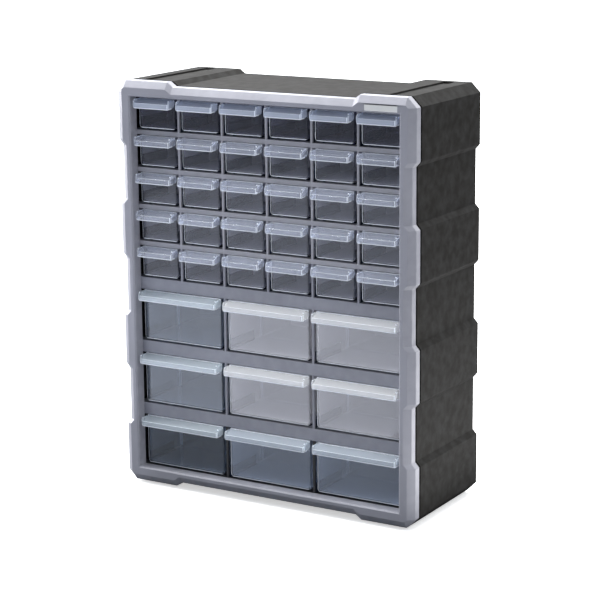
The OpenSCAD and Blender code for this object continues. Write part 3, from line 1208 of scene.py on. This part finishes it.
@dataclass
class Drawer:
    """A clear drawer: a tray with a rounded bottom, a sloping hood for the fingers and two stop lugs.

    clear_band is the height and the length of the clear strip low on each side, near the front, through
    which the dark-painted shelf parts show as painted shade, and the bead is the width of the painted
    highlight beside the hood's right cheek.
    """

    node: str
    row: Row
    wall: float = 1.4 * MM
    front_wall: float = 1.8 * MM
    corner: float = 3.6 * MM
    edge: float = 0.8 * MM
    rim: float = 0.35 * MM
    hood_reach: float = 12 * MM
    hood_drop: float = 5 * MM
    hood_height: float = 11 * MM
    hood_corner: float = 2 * MM
    hood_lip: float = 1.5 * MM
    hood_roof: float = 1.1 * MM
    hood_end: float = 1.4 * MM
    hood_edge: float = 0.4 * MM
    hood_stations: int = 9
    fold_radius: float = 0.7 * MM
    crease_radius: float = 0.1 * MM
    cheek_rise: float = 4.5 * MM
    cheek_corner: float = 3 * MM
    cheek_turn: tuple[float, float] = (30, 60)
    cheek_foot: float = 2 * MM
    ridge: float = 1.2 * MM
    lug: tuple[float, float, float] = (121.4 * MM, 3 * MM, 1.8 * MM)
    rib: float = 1.2 * MM
    rib_edge: float = 0.3 * MM
    rib_ends: tuple[float, float] = (1 * MM, 6 * MM)
    bite: float = 0.2 * MM
    rib_foot: float = 0.8 * MM
    slot_width: float = 1.8 * MM
    gate: float = 1.3 * MM
    gate_place: tuple[float, float] = (0.12, 0.5)
    gate_rise: float = 0.25 * MM
    gate_tone: float = 0.8
    back_tone: float = 0.7
    clear_band: tuple[float, float] = (12.5 * MM, 53 * MM)
    highlight_bead: float = 1.0 * MM

    def __post_init__(self) -> None:
        """Takes the tray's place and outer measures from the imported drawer's box."""
        low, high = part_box(self.node)
        self.place = ((low.x + high.x) / 2, low.y + self.hood_reach, low.z)
        self.width = high.x - low.x
        self.height = high.z - low.z - self.lug[2]
        self.length = high.y - low.y - self.hood_reach

    def build(self) -> Draft:
        """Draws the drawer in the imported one's box.

        Returns:
            The draft, with the slots of DrawerPart.
        """
        draft = Draft(self.node + "_clear", self.place)
        self.add_tray(draft)
        self.add_hood(draft)
        self.add_lugs(draft)
        if self.row is Row.LARGE:
            self.add_ribs(draft)
        return draft

    def add_tray(self, draft: Draft) -> None:
        """Draws the tray as rounded rectangles stacked up the outside, over the rim and down inside.

        At a height z above the bottom the sides are drawn in by R - sqrt(R^2 - (R - z)^2), and the
        front and back by the same rule with their own smaller radius. The inside is hazier, partly real
        haze and partly painted light, except for the front and the clear strips, where the dark-painted
        shelf parts show as painted shade; the rim, the left front edge and the bottom line are painted
        highlights.

        Args:
            draft: the drawer's draft.
        """
        width, height, length = self.width, self.height, self.length
        turn, fine = quarter_turn(6), quarter_turn(3)
        inner_corner = self.corner - self.wall

        def drawn_in(z: np.ndarray, radius: float) -> np.ndarray:
            """How far a rounded bottom edge draws its wall in at each height."""
            return radius - np.sqrt(radius**2 - np.clip(radius - z, 0, radius) ** 2)

        band = self.clear_band[0]
        up = [self.corner * (1 - np.cos(turn)), self.edge * (1 - np.cos(fine)), [band]]
        up = np.unique(np.concatenate(up))
        rows = [
            (width / 2 - side, end, length - end, z)
            for side, end, z in zip(drawn_in(up, self.corner), drawn_in(up, self.edge), up)
        ]
        over = self.rim * (1 - np.cos(fine))
        rise = height - self.rim + self.rim * np.sin(fine)
        rows += [(width / 2 - d, d, length - d, z) for d, z in zip(over, rise)]
        half_in, end_in = width / 2 - self.wall, length - self.wall
        rows += [
            (half_in + d, self.front_wall - d, end_in + d, z) for d, z in zip(over[::-1], rise[::-1])
        ]
        down = [inner_corner * (1 - np.cos(turn)), self.edge * (1 - np.cos(fine)), [band - self.wall]]
        down = np.unique(np.concatenate(down))[::-1]
        rows += [
            (half_in - side, self.front_wall + end, end_in - end, self.wall + z)
            for side, end, z in zip(drawn_in(down, inner_corner), drawn_in(down, self.edge), down)
        ]
        rings = np.array([
            level(rounded_loop(rectangle((-half, near), (half, far)), self.edge, 3), z)
            for half, near, far, z in rows
        ])
        cuts = rings[:, SIDE_ENDS].copy()
        cuts[:, :, 1] = self.clear_band[1]
        rings = np.insert(rings, SIDE_CUTS, cuts, axis=1)
        tone = np.zeros(rings.shape[:2])
        # The back corners get some edge tone, whitened as a painted highlight.
        tone[:, BACK_EDGE_POINTS] = self.back_tone
        # The inner walls and floor take the hazier plastic, partly real haze and partly painted light; the
        # clear strips low on the sides show the dark-painted shelf parts as painted shade.
        parts = np.full((len(rings) - 1, rings.shape[1]), DrawerPart.WALL.value)
        parts[: len(up) + len(fine)] = DrawerPart.TRAY.value
        parts[:, FRONT_QUADS] = DrawerPart.TRAY.value
        levels = rings[:, 0, 2]
        low = np.maximum(levels[1:], levels[:-1]) < band + TINY
        parts[np.ix_(low, CLEAR_SIDE_QUADS)] = DrawerPart.TRAY.value
        # The left front edge, the bottom front line and the top rim take the painted highlight.
        parts[: len(up), LEFT_EDGE_QUADS] = DrawerPart.RIM.value
        parts[: int(np.sum(up < self.edge)), FRONT_QUADS] = DrawerPart.RIM.value
        parts[len(up) : len(up) + 2 * len(fine) - 1] = DrawerPart.RIM.value
        draft.stack(rings, tone, parts, cap_slot=DrawerPart.WALL.value)
        dot = circle((width * self.gate_place[0], length * self.gate_place[1]), self.gate, 16)
        heights = (self.wall - self.bite, self.wall + self.gate_rise)
        draft.stack(np.array([level(dot, z) for z in heights]), self.gate_tone)

    def add_hood(self, draft: Draft) -> None:
        """Sweeps the hood's side view across the drawer.

        Near each end the heights are cut to z_top(x) and z_bottom(x), the round corners of the front
        view: a corner's edge is r - sqrt(r^2 - (|x| - w/2 + r)^2) inside the straight one. The last
        stretch at each end is a cheek of full height. Its lower edge rises from the lip to the
        drawer as y = reach (1 - sin t), z = foot + rise (1 - cos t).

        Args:
            draft: the drawer's draft.
        """
        height = self.height
        reach, back = -self.hood_reach, TINY
        fold, foot = height - self.hood_drop, height - self.hood_height
        inner = reach + self.hood_lip
        root = height - self.hood_roof - self.hood_lip * self.hood_drop / self.hood_reach
        ridge = height - self.ridge * self.hood_drop / self.hood_reach
        turn = np.radians(self.cheek_turn)
        rise = foot + self.cheek_rise * (1 - np.cos(turn))
        lower = np.column_stack([reach * (1 - np.sin(turn)), rise])
        lip = [(reach, foot + self.highlight_bead), (reach, foot)]
        thin = [(back, height), (-self.ridge, ridge), (reach, fold), *lip, (inner, foot)]
        thin = np.array([*thin, (inner, fold - self.hood_roof), (back, root)])
        cheek = [(back, height), (-self.ridge, height), (reach, height), *lip, *lower]
        cheek = np.array([*cheek, (back, foot + self.cheek_rise)])
        tiny, soft, wide = self.crease_radius, self.hood_edge, self.cheek_foot
        thin_radii = np.array([soft, tiny, self.fold_radius, tiny, soft, soft, soft, tiny])
        cheek_radii = np.array([soft, tiny, self.cheek_corner, tiny, soft, wide, wide, tiny])
        sections = {
            HoodPart.ROOF: rounded_loop(thin, thin_radii, 3),
            HoodPart.CHEEK: rounded_loop(cheek, cheek_radii, 3),
        }
        stations = self.hood_places()
        r, half = self.hood_corner, self.width / 2
        rings = []
        for x, part in stations:
            cut = r - math.sqrt(max(r**2 - max(abs(x) - half + r, 0) ** 2, 0))
            loop = sections[part]
            z = np.clip(loop[:, 1], foot + cut, height - cut)
            rings.append(np.column_stack([np.full(len(loop), x), loop[:, 0], z]))
        rings = np.array(rings)
        parts = np.full((len(rings) - 1, rings.shape[1]), DrawerPart.HOOD.value)
        # The hood's outline, its end strips and the seams beside its cheeks take the painted highlight.
        parts[:, HOOD_LINES] = DrawerPart.RIM.value
        parts[:HOOD_END_STRIPS] = DrawerPart.RIM.value
        parts[-HOOD_END_STRIPS:, HOOD_FACE] = DrawerPart.RIM.value
        across = np.array([x for x, _ in stations])
        middle = (across[1:] + across[:-1]) / 2
        end = half - self.hood_end
        beside = (middle > end - self.highlight_bead) & (middle < end - TINY)
        parts[np.ix_(beside, HOOD_OUTSIDE)] = DrawerPart.RIM.value
        draft.stack(rings, 0.0, parts, cap_slot=DrawerPart.HOOD.value)

    def hood_places(self) -> list[tuple[float, HoodPart]]:
        """Sets out the places along X where the hood's section stands.

        At each end they lie at w/2 - r + r sin t, for t from 0 to a right angle, past the cheek's
        inner face.

        Returns:
            Each place, from left to right, with the section there.
        """
        r, half = self.hood_corner, self.width / 2
        end = half - self.hood_end
        bend = half - r + r * np.sin(quarter_turn(6))
        near = [(end - self.highlight_bead, HoodPart.ROOF), (end - TINY, HoodPart.ROOF), (end, HoodPart.CHEEK)]
        near += [(x, HoodPart.CHEEK) for x in bend if x > end + LEAST_STEP]
        inside = end - 2 * self.highlight_bead
        roof = [(x, HoodPart.ROOF) for x in np.linspace(-inside, inside, self.hood_stations)]
        return [*[(-x, part) for x, part in near[::-1]], *roof, *near]

    def add_lugs(self, draft: Draft) -> None:
        """Adds the stop lugs on the rims of the side walls.

        Args:
            draft: the drawer's draft.
        """
        start, length, rise = self.lug
        bottom, top = self.height - SUNK, self.height + rise
        for side in (-1, 1):
            ends = sorted((side * (self.width / 2 - self.wall), side * self.width / 2))
            draft.block((ends[0], start, bottom), (ends[1], start + length, top), self.rib_edge)

    def add_ribs(self, draft: Draft) -> None:
        """Adds the pairs of ribs half way back that hold a divider.

        Args:
            draft: the drawer's draft.
        """
        length, edge = self.length, self.rib_edge
        half = self.width / 2 - self.wall
        floor, top = self.corner - self.rib_ends[0], self.height - self.rib_ends[1]
        across, foot = half - self.corner, (self.wall - self.bite, self.wall + self.rib_foot)
        for y in (length / 2 - self.slot_width / 2 - self.rib, length / 2 + self.slot_width / 2):
            for side in (-1, 1):
                ends = sorted((side * (half - self.rib), side * (half + self.bite)))
                low, high = (ends[0], y, floor), (ends[1], y + self.rib, top)
                # The divider ribs take the painted highlight.
                draft.block(low, high, edge, DrawerPart.RIM.value)
            draft.block((-across, y, foot[0]), (across, y + self.rib, foot[1]), edge)

    def dress(self, draft: Draft, materials: list[bpy.types.Material]) -> None:
        """Finishes the drawer in its clear plastics, on its own sliding body."""
        draft.finish(materials, self.node, "drawer_clear", self.node)


# ---- finishes ----


CASE_BLACK = SolidPlastic(
    "case_black_satin", (0.021, 0.0196, 0.0178), (0.07, 0.07, 0.07), (0.08, 0.08, 0.08), 0.6,
    grain=0.25, waviness=0.2, wear=0.3, scuffing=0.02, dust=0.02, shine=0.06, mottle=0.05,
)
BASE_BLACK = SolidPlastic(
    "base_black_satin", (0.03, 0.03, 0.033), (0.10, 0.10, 0.10), (0.16, 0.16, 0.16), 0.45,
    grain=0.6, waviness=0.4, wear=0.3, scuffing=0.2, dust=0.1,
)
FRAME_GREY = SolidPlastic(
    "frame_grey_satin", (0.345, 0.345, 0.39), (0.52, 0.52, 0.56), (0.5, 0.5, 0.5), 0.36, grain=0.45
)
SHELF_GREY = SolidPlastic(
    "shelf_grey_satin", (0.26, 0.265, 0.31), (0.42, 0.42, 0.46), (0.45, 0.45, 0.45), 0.4
)
# Painted light: the shelf grey made lighter for the small rows, whose bars lie in the hoods' shade.
SMALL_SHELF_PAINTED_LIGHT_GREY = SolidPlastic(
    "small_shelf_painted_light_grey_satin", (0.38, 0.375, 0.41), (0.5, 0.5, 0.54), (0.45, 0.45, 0.45), 0.4
)
# Painted shade: a dark blue-grey for the shelf's runners, guide rails and rear stop, standing in for the
# shadow behind the drawers.
SHELF_PAINTED_SHADE = SolidPlastic(
    "shelf_painted_shade_matt", (0.022, 0.030, 0.058), (0.12, 0.12, 0.14), (0.1, 0.1, 0.1), 0.6,
    grain=0.6, wear=0.3, scuffing=0.2, dust=0.1, shine=0.2,
)
PLATE_WHITE = SolidPlastic(
    "plate_white_gloss", (0.84, 0.84, 0.82), (0.7, 0.7, 0.7), (0.7, 0.7, 0.7), 0.3,
    grain=0.15, waviness=0.3, wear=0.1, scuffing=0.1, dust=0.02,
)
# Painted highlight: a near-opaque whitish plastic on the drawers' rims, edge lines, hood outlines, seams
# and divider ribs, standing in for light caught in the clear walls' edges.
RIM = ClearPlastic("clear_painted_highlight", (0.90, 0.94, 1.0), (0.90, 0.94, 1.0), 0.04, 0.3, 0.3, 0.85)


class PaintedLightSet(Enum):
    """Copies of one clear plastic, lighter, darker or bluer by row and column as painted shade and
    reflection.

    Each has the plastics of the tray, of its hood and of its hazier inner walls, whose haze is partly
    painted light. The numbers are the tint, the rim's colour, clarity, roughness, the rim's roughness,
    the lamps' light passed, and for a hood its waviness.
    """

    SMOKY = (
        ClearPlastic("clear_smoky", (0.80, 0.82, 0.95), (0.9, 0.94, 1.0), 0.97, 0.03, 0.2, 0.8),
        ClearPlastic("clear_smoky_hood", (0.82, 0.88, 1.0), (0.9, 0.94, 1.0), 0.60, 0.06, 0.2, 0.85, 0.4),
        ClearPlastic("clear_smoky_wall", (0.80, 0.80, 0.94), (0.9, 0.94, 1.0), 0.72, 0.08, 0.2, 0.6),
    )
    SMALL = (
        ClearPlastic("clear_small", (0.84, 0.87, 0.98), (0.9, 0.94, 1.0), 0.97, 0.03, 0.2, 0.85),
        ClearPlastic("clear_small_hood", (0.86, 0.90, 1.0), (0.9, 0.94, 1.0), 0.80, 0.06, 0.2, 0.85, 0.4),
        ClearPlastic("clear_small_wall", (0.83, 0.82, 0.87), (0.84, 0.88, 0.94), 0.45, 0.10, 0.2, 0.48),
    )
    PALE = (
        ClearPlastic("clear_pale", (0.93, 0.93, 0.98), (0.95, 0.97, 1.0), 0.85, 0.04, 0.2, 0.87),
        ClearPlastic("clear_pale_hood", (0.95, 0.96, 0.97), (0.95, 0.97, 1.0), 0.60, 0.12, 0.25, 0.88, 0.4),
        ClearPlastic("clear_pale_wall", (0.96, 0.95, 0.97), (0.95, 0.97, 1.0), 0.32, 0.10, 0.25, 0.45),
    )
    BLUE = (
        ClearPlastic("clear_blue", (0.76, 0.84, 0.96), (0.9, 0.96, 1.0), 0.96, 0.04, 0.2, 0.8),
        ClearPlastic("clear_blue_hood", (0.86, 0.93, 0.98), (0.9, 0.96, 1.0), 0.68, 0.10, 0.25, 0.85, 0.4),
        ClearPlastic("clear_blue_wall", (0.76, 0.84, 0.96), (0.9, 0.96, 1.0), 0.75, 0.10, 0.25, 0.6),
    )
    MISTY = (
        ClearPlastic("clear_misty", (0.80, 0.87, 1.0), (0.9, 0.96, 1.0), 0.86, 0.04, 0.2, 0.8),
        ClearPlastic("clear_misty_hood", (0.86, 0.92, 0.98), (0.9, 0.96, 1.0), 0.70, 0.10, 0.25, 0.85, 0.4),
        ClearPlastic("clear_misty_wall", (0.82, 0.89, 1.0), (0.9, 0.96, 1.0), 0.52, 0.10, 0.25, 0.55),
    )


def painted_light_set_of(row: Row, line: int, column: int) -> PaintedLightSet:
    """The set of a drawer, as painted shade and reflection: the top line is smokier, and the left and lower
    large ones are bluer.

    Args:
        row: the kind of row.
        line: number of the row, from the top of its kind.
        column: number of the column, from the left.

    Returns:
        The set.
    """
    if row is Row.SMALL:
        return PaintedLightSet.SMOKY if line == 1 else PaintedLightSet.SMALL
    if column == 1:
        return PaintedLightSet.BLUE
    return PaintedLightSet.PALE if line < row.count else PaintedLightSet.MISTY


# ---- the studio ----


@dataclass(frozen=True)
class Softbox:
    """A flat area lamp: where it is, what it looks at, its size, its power in watts and its colour."""

    name: str
    place: tuple[float, float, float]
    target: tuple[float, float, float]
    size: tuple[float, float]
    power: float
    colour: Colour = (1.0, 1.0, 1.0)

    def build(self) -> None:
        """Adds the lamp, turned to its target."""
        lamp = bpy.data.lights.new(self.name, "AREA")
        lamp.shape = "RECTANGLE"
        lamp.size, lamp.size_y = self.size
        lamp.energy = self.power
        lamp.color = self.colour
        holder = bpy.data.objects.new(self.name, lamp)
        holder.location = self.place
        aim = Vector(self.target) - Vector(self.place)
        holder.rotation_euler = aim.to_track_quat("-Z", "Y").to_euler()
        holder.visible_camera = False
        bpy.context.scene.collection.objects.link(holder)


CARD_COLOUR: Colour = (0.84, 0.88, 1.0)


@dataclass
class Studio:
    """A pale floor, soft lamps, pale surroundings and the camera.

    The camera's own rays see the floor in floor_colour with a glow of floor_glow, and the air a full
    step brighter, so that both are plain white. Other rays see the floor in floor_bounce and the air
    at the strength of surroundings. The cards are lamps that lie on the floor and look up.
    """

    floor_half: float = 20.0
    floor_colour: Colour = (0.92, 0.92, 0.92)
    floor_glow: float = 0.55
    floor_bounce: Colour = (0.16, 0.165, 0.175)
    air_colour: Colour = (0.80, 0.88, 1.0)
    surroundings: float = 0.36
    camera_place: tuple[float, float, float] = (1.1375, -1.9052, 0.7331)
    yaw: float = math.radians(30.78)
    pitch: float = math.radians(12.93)
    roll: float = math.radians(-0.53)
    lens: float = 119.42
    sensor: float = 36.0
    sight: tuple[float, float] = (0.05, 100.0)
    lamps: tuple[Softbox, ...] = (
        Softbox("ceiling", (-2.2, 5.1, 4.0), (-2.2, 5.1, 0.0), (14.0, 13.7), 1250.0),
        Softbox("overhead", (-1.0, 0.3, 2.2), (0, 0, 0.4), (1.2, 1.2), 64.0),
        Softbox("left_side", (-2.3, -0.2, 0.75), (0, 0, 0.25), (0.8, 1.3), 60.0),
        Softbox("right_side", (2.6, -0.2, 0.6), (0, 0, 0.25), (1.4, 1.0), 12.0),
        Softbox("right_card", (0.46, 0.2, 0.004), (0.46, 0.2, 1.0), (0.45, 0.8), 2.4),
        Softbox("near_card", (-0.42, -0.64, 0.004), (-0.42, -0.64, 1.0), (0.85, 0.62), 3.2, CARD_COLOUR),
        Softbox("far_card", (-0.75, -1.50, 0.004), (-0.75, -1.50, 1.0), (1.10, 1.10), 2.5, CARD_COLOUR),
    )

    def build(self) -> None:
        """Builds the floor, the surroundings, the lamps and the camera."""
        self.add_floor()
        self.add_surroundings()
        for lamp in self.lamps:
            lamp.build()
        self.add_camera()
        bpy.context.scene.view_settings.view_transform = "Standard"

    def add_floor(self) -> None:
        """Lays a plain pale floor under the cabinet."""
        mesh = bpy.data.meshes.new("studio_floor")
        corners = rectangle((-self.floor_half, -self.floor_half), (self.floor_half, self.floor_half))
        mesh.from_pydata(np.column_stack([corners, np.zeros(4)]), [], [[0, 1, 2, 3]])
        material, graph, shader = new_material("studio_floor_paper")
        seen = graph.node("ShaderNodeLightPath").outputs["Is Camera Ray"]
        graph.fill(shader, {
            "Base Color": graph.blend(seen, self.floor_bounce, self.floor_colour),
            "Emission Color": graph.math("MULTIPLY", seen, self.floor_glow),
            "Emission Strength": 1.0,
            "Roughness": 1.0,
            "Specular IOR Level": 0.0,
        })
        mesh.materials.append(material)
        floor = bpy.data.objects.new("studio_floor", mesh)
        bpy.context.scene.collection.objects.link(floor)

    def add_surroundings(self) -> None:
        """Sets the even pale light that comes from all round."""
        world = bpy.data.worlds.new("studio_air")
        world.use_nodes = True
        graph = Graph(world.node_tree)
        seen = graph.node("ShaderNodeLightPath").outputs["Is Camera Ray"]
        strength = graph.math("ADD", self.surroundings, seen)
        background = world.node_tree.nodes["Background"]
        graph.fill(background, {"Color": (*self.air_colour, 1.0), "Strength": strength})
        bpy.context.scene.world = world

    def add_camera(self) -> None:
        """Places the camera by its yaw about Z, its downward pitch and its roll about the view line.

        The view line is (-sin yaw cos pitch, cos yaw cos pitch, -sin pitch), the right hand lies level
        across it, and roll turns right and up about it.
        """
        data = bpy.data.cameras.new("studio_camera")
        data.lens, data.sensor_width = self.lens, self.sensor
        data.clip_start, data.clip_end = self.sight
        view = Vector((
            -math.sin(self.yaw) * math.cos(self.pitch),
            math.cos(self.yaw) * math.cos(self.pitch),
            -math.sin(self.pitch),
        ))
        across = Vector((math.cos(self.yaw), math.sin(self.yaw), 0))
        up = across.cross(view)
        right = math.cos(self.roll) * across + math.sin(self.roll) * up
        top = math.cos(self.roll) * up - math.sin(self.roll) * across
        turned = Matrix((right, top, -view)).transposed().to_4x4()
        camera = bpy.data.objects.new("studio_camera", data)
        camera.matrix_world = Matrix.Translation(self.camera_place) @ turned
        bpy.context.scene.collection.objects.link(camera)
        bpy.context.scene.camera = camera


# ---- putting it together ----


# The small rows' shelves take the grey lightened as painted light.
SHELF_FACES = {
    Bar.SMALL: (SMALL_SHELF_PAINTED_LIGHT_GREY, "shelf_grey"),
    Bar.LARGE: (SHELF_GREY, "shelf_grey"),
    Bar.BASE: (BASE_BLACK, "base_black"),
}


def build_shelves() -> list[Shelf]:
    """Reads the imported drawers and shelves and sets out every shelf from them.

    Returns:
        The shelves, from the top down.
    """
    shelves = []
    for row in Row:
        names = row.nodes()
        first, second, below = (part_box(names[i]) for i in (0, 1, row.columns))
        pitch = second[0].x - first[0].x
        width = first[1].x - first[0].x
        length = first[1].y - first[0].y - Drawer.hood_reach
        over = Bar.SMALL if row is Row.SMALL else Bar.LARGE
        post_height = first[0].z - below[0].z - over.value
        for number in range(1, row.count + 1):
            last = number == row.count
            node, bar = f"{row.kind}_shelf_{number}", Bar.LARGE if last else over
            if last and row is Row.LARGE:
                node, bar = "base_shelf", Bar.BASE
            shelves.append(Shelf(node, row, bar, post_height, pitch, width, length))
    return shelves


def main() -> None:
    """Builds the cabinet and its studio, and reports each piece."""
    logging.basicConfig(level=logging.INFO, format="%(name)s: %(message)s")
    effects = SharedEffects()
    shelves = build_shelves()
    shell_low, shell_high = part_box("case_shell")
    frame_low, frame_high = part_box("front_frame")
    plate_low, plate_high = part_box("name_plate")
    outline = Outline(frame_high.x, frame_low.z, frame_high.z)
    floors = [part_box(s.node)[0].z + s.bar.value - s.plate for s in shelves]

    case = Case(outline, shell_low.y, shell_high.y, shell_low.z, floors)
    case.dress(case.build(), CASE_BLACK.build(effects))

    half = frame_high.x - FrontFrame.border
    top_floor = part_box("small_shelf_1")[0].z + Bar.SMALL.value
    head = top_floor + shelves[0].post_height + FrontFrame.strip[0]
    bezel = FrontFrame(
        outline, frame_low.y, shell_low.y, (-half, frame_low.z + FrontFrame.sill), (half, head),
        (plate_low.x, plate_low.z), (plate_high.x, plate_high.z), plate_high.y - plate_low.y,
    )
    bezel.dress(bezel.build(), FRAME_GREY.build(effects))

    plate = NamePlate(plate_low, plate_high)
    plate.dress(plate.build(), PLATE_WHITE.build(effects))

    # The shelves' parts behind the drawers are dark as painted shade.
    shaded = SHELF_PAINTED_SHADE.build(effects)
    faces = {bar: finish.build(effects) for bar, (finish, _) in SHELF_FACES.items()}
    for shelf in shelves:
        shelf.dress(shelf.build(), [faces[shelf.bar], shaded], SHELF_FACES[shelf.bar][1])

    # The whitish plastic of the drawers' painted highlights.
    rim = RIM.build(effects)
    clear = {light_set: [finish.build(effects) for finish in light_set.value] for light_set in PaintedLightSet}
    for row in Row:
        for number, node in enumerate(row.nodes()):
            line, column = divmod(number, row.columns)
            drawer = Drawer(node, row)
            # Each drawer takes the copy for its row and column, tinted as painted shade and reflection.
            drawer.dress(drawer.build(), [*clear[painted_light_set_of(row, line + 1, column + 1)], rim])

    Studio().build()


if __name__ == "__main__":
    main()
